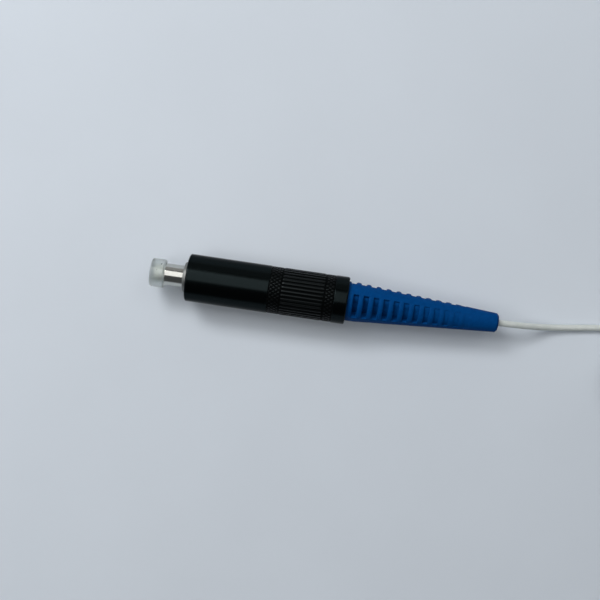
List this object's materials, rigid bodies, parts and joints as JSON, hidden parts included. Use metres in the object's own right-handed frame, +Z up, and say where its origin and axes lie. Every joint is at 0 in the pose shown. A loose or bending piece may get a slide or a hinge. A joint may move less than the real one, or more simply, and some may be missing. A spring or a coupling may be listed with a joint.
{
  "type": "fibre optic connector",
  "caption": "Round push-pull fibre optic plug with a silver nose, clear dust cap, black knurled release sleeve and blue slotted boot on a thin white fibre lead.",
  "frame": {"origin": "on the surface below the middle of the plug, half-way from the dust cap's front face to the boot's tip", "axes": "+X along the plug's axis from the dust cap to the boot, +Z up from the surface that the plug lies on"},
  "size_m": [0.091, 0.0109, 0.0067],
  "materials": {
    "clear_cap": "clear soft plastic",
    "white_ceramic": "polished zirconia ceramic",
    "fibre_glass": "polished",
    "plated_metal": "nickel plate over brass",
    "spring_steel": "drawn wire",
    "latch_brass": "bright",
    "black_sleeve": "satin black anodised",
    "black_grip": "matt moulded",
    "liner_plastic": "natural",
    "blue_boot": "satin moulded",
    "white_buffer": "satin extruded",
    "tie_strap": "satin"
  },
  "bodies": {
    "plug": {"plug_body": "plated_metal", "latch_collet": "latch_brass", "latch_clip": "spring_steel", "ferrule_spring": "spring_steel", "sleeve_spring": "spring_steel", "spring_washer": "spring_steel", "rear_post": "plated_metal", "rear_nut": "plated_metal", "liner_tube": "liner_plastic", "boot": "blue_boot", "cable": "white_buffer", "cable_hank": "white_buffer", "hank_tie": "tie_strap"},
    "cap": {"dust_cap": "clear_cap"},
    "sleeve": {"release_sleeve": "black_sleeve", "grip_band": "black_grip"},
    "ferrule_unit": {"ferrule": "white_ceramic", "glass_fibre": "fibre_glass", "ferrule_holder": "plated_metal", "buffer_tail": "white_buffer"}
  },
  "joints": [
    {"name": "cap_pull", "type": "slide", "parent": "plug", "child": "cap", "axis": [-1, 0, 0], "range_m": [0, 0.02]},
    {"name": "sleeve_release", "type": "slide", "parent": "plug", "child": "sleeve", "axis": [1, 0, 0], "range_m": [0, 0.0012], "stiffness_N_per_m": 600, "springref_m": -0.0015, "deforming": ["sleeve_spring"]},
    {"name": "ferrule_float", "type": "slide", "parent": "plug", "child": "ferrule_unit", "axis": [1, 0, 0], "range_m": [0, 0.0008], "stiffness_N_per_m": 1500, "springref_m": -0.0015, "deforming": ["ferrule_spring"]}
  ]
}
